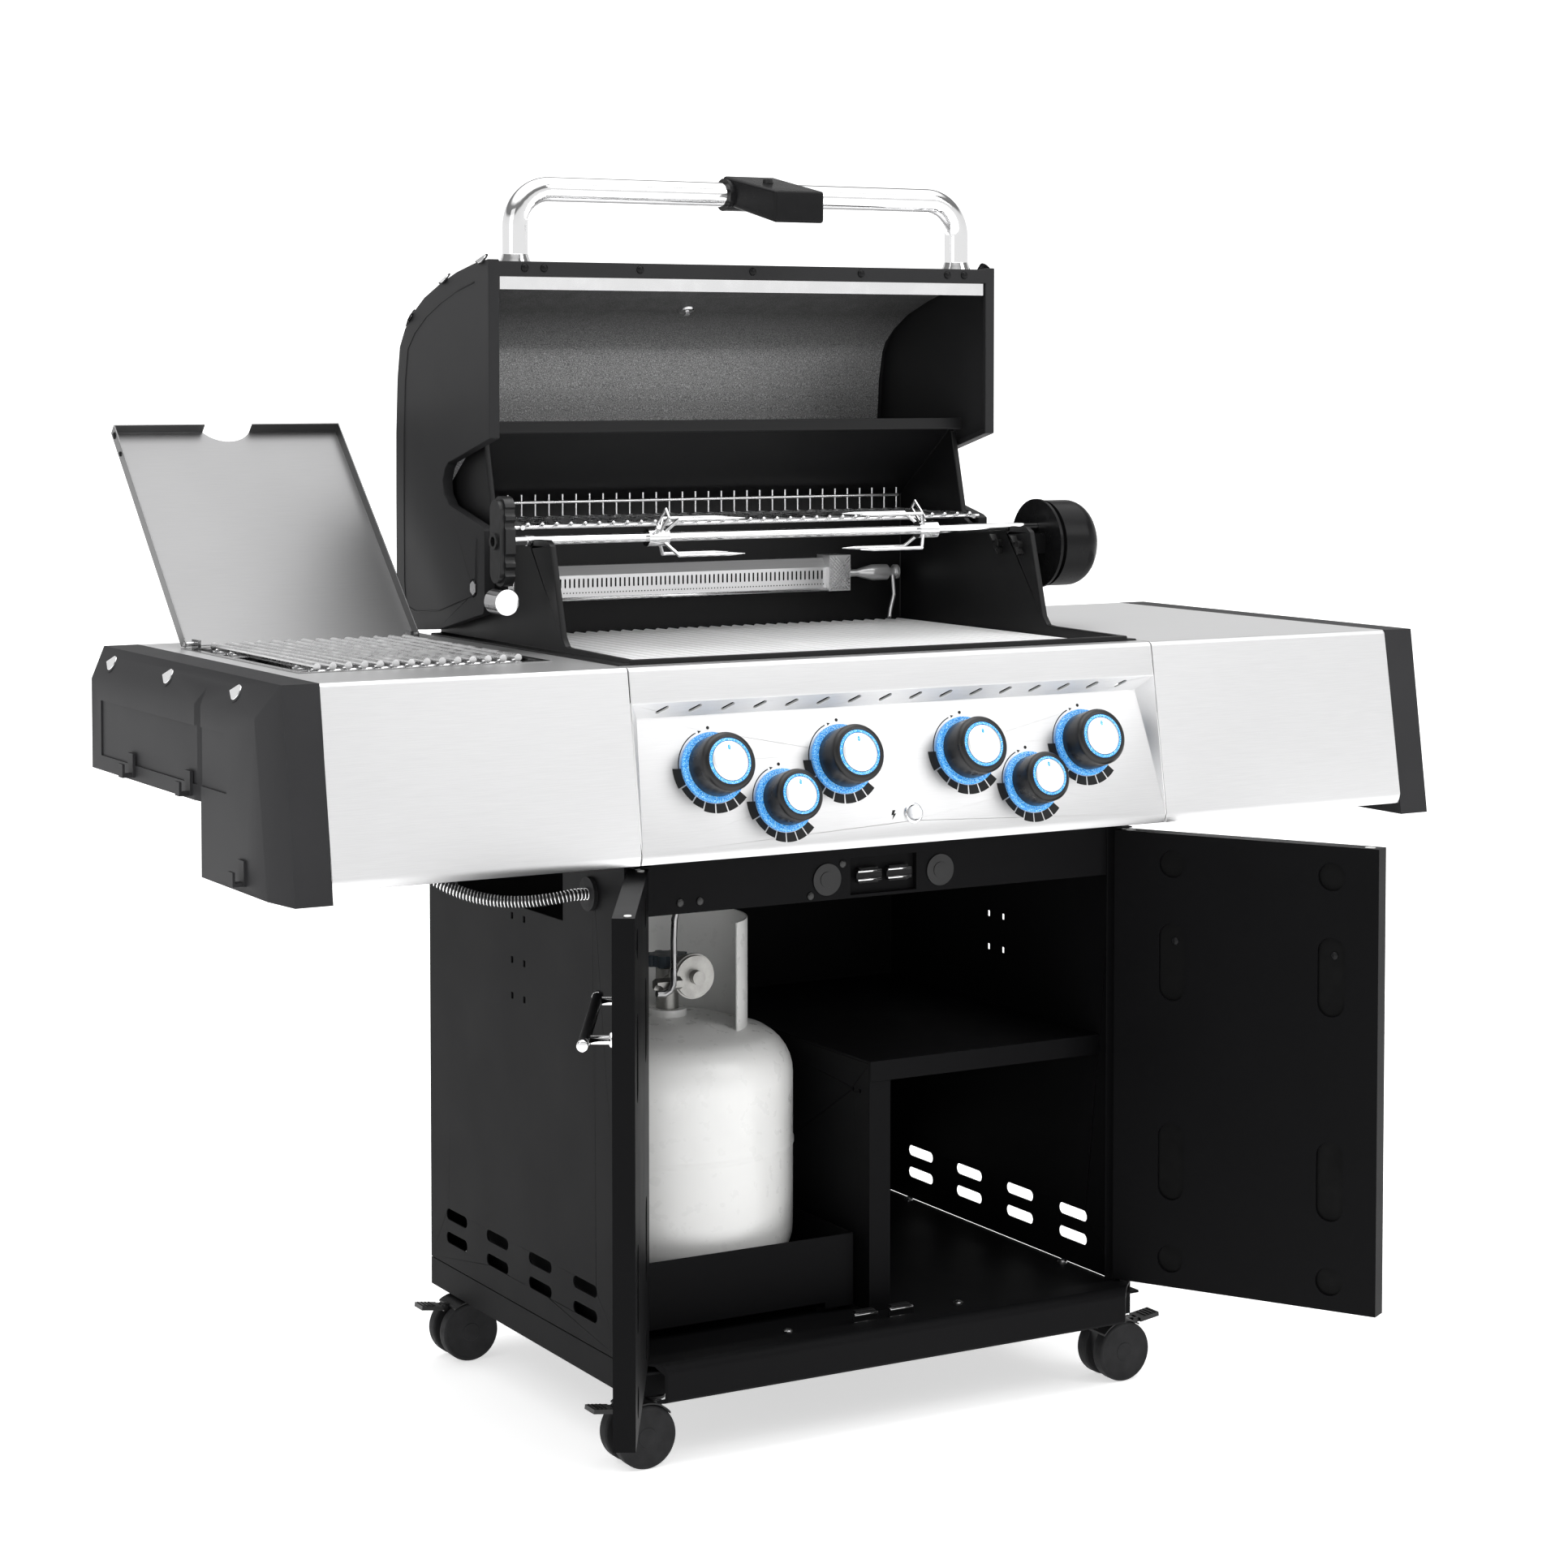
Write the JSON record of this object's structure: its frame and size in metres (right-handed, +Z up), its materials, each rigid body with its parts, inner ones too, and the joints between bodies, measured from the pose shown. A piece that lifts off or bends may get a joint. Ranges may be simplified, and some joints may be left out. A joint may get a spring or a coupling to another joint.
{
  "type": "gas barbecue grill",
  "caption": "Gas barbecue grill on a closed cart with doors, casters, side shelves, a side burner, a rotisserie spit and a hinged hood, shown open.",
  "frame": {"origin": "on the floor, midway between the left and right sides and midway between the front and rear caster stems", "axes": "+X to the object's right as seen from its front, +Y to the back, +Z up"},
  "size_m": [1.601, 1.0268, 1.4994],
  "materials": {
    "cart_steel": "satin powder coat",
    "catch_black": "matt",
    "tank_white": "gloss enamel",
    "regulator_metal": "die cast",
    "valve_plastic": "matt",
    "hose_metal": "satin",
    "pin_steel": "zinc plated",
    "fastener_steel": "zinc plated",
    "door_steel": "satin powder coat",
    "stainless": "brushed",
    "cap_plastic": "satin charcoal",
    "stainless_pan": "brushed",
    "rod_steel": "polished rod",
    "stainless_lid": "brushed",
    "guard_spring": "bright spring",
    "stainless_panel": "brushed",
    "bezel_blue": "gloss",
    "button_white": "gloss",
    "enamel_black": "porcelain enamel",
    "burner_steel": "satin",
    "grate_steel": "satin rod",
    "burner_tube": "satin",
    "manifold_steel": "satin",
    "tray_steel": "galvanised",
    "motor_plastic": "satin",
    "spit_chrome": "bright",
    "grip_plastic": "matt",
    "stainless_hood": "brushed",
    "liner_steel": "mottled inner sheet",
    "cast_frame": "satin cast",
    "handle_chrome": "polished",
    "light_plastic": "satin",
    "light_button": "gloss",
    "gauge_chrome": "polished",
    "caster_plastic": "matt",
    "wheel_rubber": "matt",
    "lever_plastic": "matt",
    "knob_plastic": "satin"
  },
  "bodies": {
    "cart": {"base_tray": "cart_steel", "cabinet_panels": "cart_steel", "front_valance": "cart_steel", "door_catches": "catch_black", "cabinet_divider": "cart_steel", "cabinet_shelf": "cart_steel", "tank_tray": "cart_steel", "gas_tank": "tank_white", "regulator": "regulator_metal", "supply_hose": "hose_metal", "hinge_pins": "pin_steel", "fasteners": "fastener_steel", "side_shelves": "stainless", "end_caps": "cap_plastic", "side_burner": "stainless_pan", "side_burner_grate": "rod_steel", "side_burner_hose": "guard_spring", "control_panel": "stainless_panel", "knob_bezels": "bezel_blue", "firebox": "enamel_black", "rear_burner": "burner_steel", "warming_rack": "rod_steel", "cooking_grates": "grate_steel", "main_burners": "burner_tube", "gas_manifold": "manifold_steel", "spit_motor": "motor_plastic"},
    "hood": {"lid_shell": "stainless_hood", "lid_liner": "liner_steel", "lid_frame": "cast_frame", "lid_handle": "handle_chrome", "handle_light": "light_plastic", "thermometer": "gauge_chrome"},
    "light_button": {"light_button": "light_button"},
    "left_door": {"left_door": "door_steel"},
    "right_door": {"right_door": "door_steel"},
    "side_lid": {"side_burner_lid": "stainless_lid"},
    "igniter_button": {"igniter_button": "button_white"},
    "valve_wheel": {"valve_wheel": "valve_plastic"},
    "spit": {"spit_rod": "spit_chrome", "spit_grip": "grip_plastic", "spit_forks": "spit_chrome"},
    "grease_tray": {"grease_tray": "tray_steel"},
    "knob_1": {"knob_1": "knob_plastic"},
    "knob_2": {"knob_2": "knob_plastic"},
    "knob_3": {"knob_3": "knob_plastic"},
    "knob_4": {"knob_4": "knob_plastic"},
    "knob_5": {"knob_5": "knob_plastic"},
    "knob_6": {"knob_6": "knob_plastic"},
    "caster_fl_housing": {"caster_fl_housing": "caster_plastic"},
    "caster_fl_wheels": {"caster_fl_wheels": "wheel_rubber"},
    "caster_fl_lever": {"caster_fl_lever": "lever_plastic"},
    "caster_fr_housing": {"caster_fr_housing": "caster_plastic"},
    "caster_fr_wheels": {"caster_fr_wheels": "wheel_rubber"},
    "caster_fr_lever": {"caster_fr_lever": "lever_plastic"},
    "caster_rl_housing": {"caster_rl_housing": "caster_plastic"},
    "caster_rl_wheels": {"caster_rl_wheels": "wheel_rubber"},
    "caster_rl_lever": {"caster_rl_lever": "lever_plastic"},
    "caster_rr_housing": {"caster_rr_housing": "caster_plastic"},
    "caster_rr_wheels": {"caster_rr_wheels": "wheel_rubber"},
    "caster_rr_lever": {"caster_rr_lever": "lever_plastic"}
  },
  "joints": [
    {"name": "hood_hinge", "type": "hinge", "parent": "cart", "child": "hood", "pos_m": [0, 0.13, 0.988], "axis": [1, 0, 0], "range_deg": [0, 90]},
    {"name": "left_door_hinge", "type": "hinge", "parent": "cart", "child": "left_door", "pos_m": [-0.338, -0.252, 0.4], "axis": [0, 0, 1], "range_deg": [0, 120]},
    {"name": "right_door_hinge", "type": "hinge", "parent": "cart", "child": "right_door", "pos_m": [0.338, -0.252, 0.4], "axis": [0, 0, 1], "range_deg": [-120, 0]},
    {"name": "side_lid_hinge", "type": "hinge", "parent": "cart", "child": "side_lid", "pos_m": [-0.555, 0.214, 0.927], "axis": [1, 0, 0], "range_deg": [0, 135]},
    {"name": "spit_turn", "type": "hinge", "parent": "cart", "child": "spit", "pos_m": [0, 0.009, 1.051], "axis": [1, 0, 0], "continuous": true},
    {"name": "knob_1_turn", "type": "hinge", "parent": "cart", "child": "knob_1", "pos_m": [-0.2565, -0.28192, 0.80265], "axis": [0, -0.9573, 0.2891], "range_deg": [0, 225]},
    {"name": "knob_2_turn", "type": "hinge", "parent": "cart", "child": "knob_2", "pos_m": [-0.171, -0.29444, 0.7612], "axis": [0, -0.9573, 0.2891], "range_deg": [0, 225]},
    {"name": "knob_3_turn", "type": "hinge", "parent": "cart", "child": "knob_3", "pos_m": [-0.0855, -0.28192, 0.80265], "axis": [0, -0.9573, 0.2891], "range_deg": [0, 225]},
    {"name": "knob_4_turn", "type": "hinge", "parent": "cart", "child": "knob_4", "pos_m": [0.0855, -0.28192, 0.80265], "axis": [0, -0.9573, 0.2891], "range_deg": [0, 225]},
    {"name": "knob_5_turn", "type": "hinge", "parent": "cart", "child": "knob_5", "pos_m": [0.171, -0.29444, 0.7612], "axis": [0, -0.9573, 0.2891], "range_deg": [0, 225]},
    {"name": "knob_6_turn", "type": "hinge", "parent": "cart", "child": "knob_6", "pos_m": [0.2565, -0.28192, 0.80265], "axis": [0, -0.9573, 0.2891], "range_deg": [0, 225]},
    {"name": "valve_wheel_turn", "type": "hinge", "parent": "cart", "child": "valve_wheel", "pos_m": [-0.162, 0.009, 0.523], "axis": [0, 0, 1], "range_deg": [-540, 0]},
    {"name": "igniter_press", "type": "slide", "parent": "cart", "child": "igniter_button", "axis": [0, 0.9573, -0.2891], "range_m": [0, 0.004], "stiffness_N_per_m": 400, "springref_m": -0.002},
    {"name": "grease_tray_slide", "type": "slide", "parent": "cart", "child": "grease_tray", "axis": [0, 1, 0], "range_m": [0, 0.38]},
    {"name": "caster_fl_swivel", "type": "hinge", "parent": "cart", "child": "caster_fl_housing", "pos_m": [-0.312, -0.241, 0.07], "axis": [0, 0, 1], "continuous": true},
    {"name": "caster_fl_roll", "type": "hinge", "parent": "caster_fl_housing", "child": "caster_fl_wheels", "pos_m": [-0.334, -0.241, 0.037], "axis": [0, 1, 0], "continuous": true},
    {"name": "caster_fl_brake", "type": "hinge", "parent": "caster_fl_housing", "child": "caster_fl_lever", "pos_m": [-0.362, -0.241, 0.068], "axis": [0, 1, 0], "range_deg": [-14, 0]},
    {"name": "caster_fr_swivel", "type": "hinge", "parent": "cart", "child": "caster_fr_housing", "pos_m": [0.312, -0.241, 0.07], "axis": [0, 0, 1], "continuous": true},
    {"name": "caster_fr_roll", "type": "hinge", "parent": "caster_fr_housing", "child": "caster_fr_wheels", "pos_m": [0.334, -0.241, 0.037], "axis": [0, 1, 0], "continuous": true},
    {"name": "caster_fr_brake", "type": "hinge", "parent": "caster_fr_housing", "child": "caster_fr_lever", "pos_m": [0.362, -0.241, 0.068], "axis": [0, 1, 0], "range_deg": [0, 14]},
    {"name": "caster_rl_swivel", "type": "hinge", "parent": "cart", "child": "caster_rl_housing", "pos_m": [-0.312, 0.241, 0.07], "axis": [0, 0, 1], "continuous": true},
    {"name": "caster_rl_roll", "type": "hinge", "parent": "caster_rl_housing", "child": "caster_rl_wheels", "pos_m": [-0.334, 0.241, 0.037], "axis": [0, 1, 0], "continuous": true},
    {"name": "caster_rl_brake", "type": "hinge", "parent": "caster_rl_housing", "child": "caster_rl_lever", "pos_m": [-0.362, 0.241, 0.068], "axis": [0, 1, 0], "range_deg": [-14, 0]},
    {"name": "caster_rr_swivel", "type": "hinge", "parent": "cart", "child": "caster_rr_housing", "pos_m": [0.312, 0.241, 0.07], "axis": [0, 0, 1], "continuous": true},
    {"name": "caster_rr_roll", "type": "hinge", "parent": "caster_rr_housing", "child": "caster_rr_wheels", "pos_m": [0.334, 0.241, 0.037], "axis": [0, 1, 0], "continuous": true},
    {"name": "caster_rr_brake", "type": "hinge", "parent": "caster_rr_housing", "child": "caster_rr_lever", "pos_m": [0.362, 0.241, 0.068], "axis": [0, 1, 0], "range_deg": [0, 14]},
    {"name": "light_press", "type": "slide", "parent": "hood", "child": "light_button", "axis": [0, 0, -1], "range_m": [0, 0.0025], "stiffness_N_per_m": 300, "springref_m": -0.001}
  ]
}
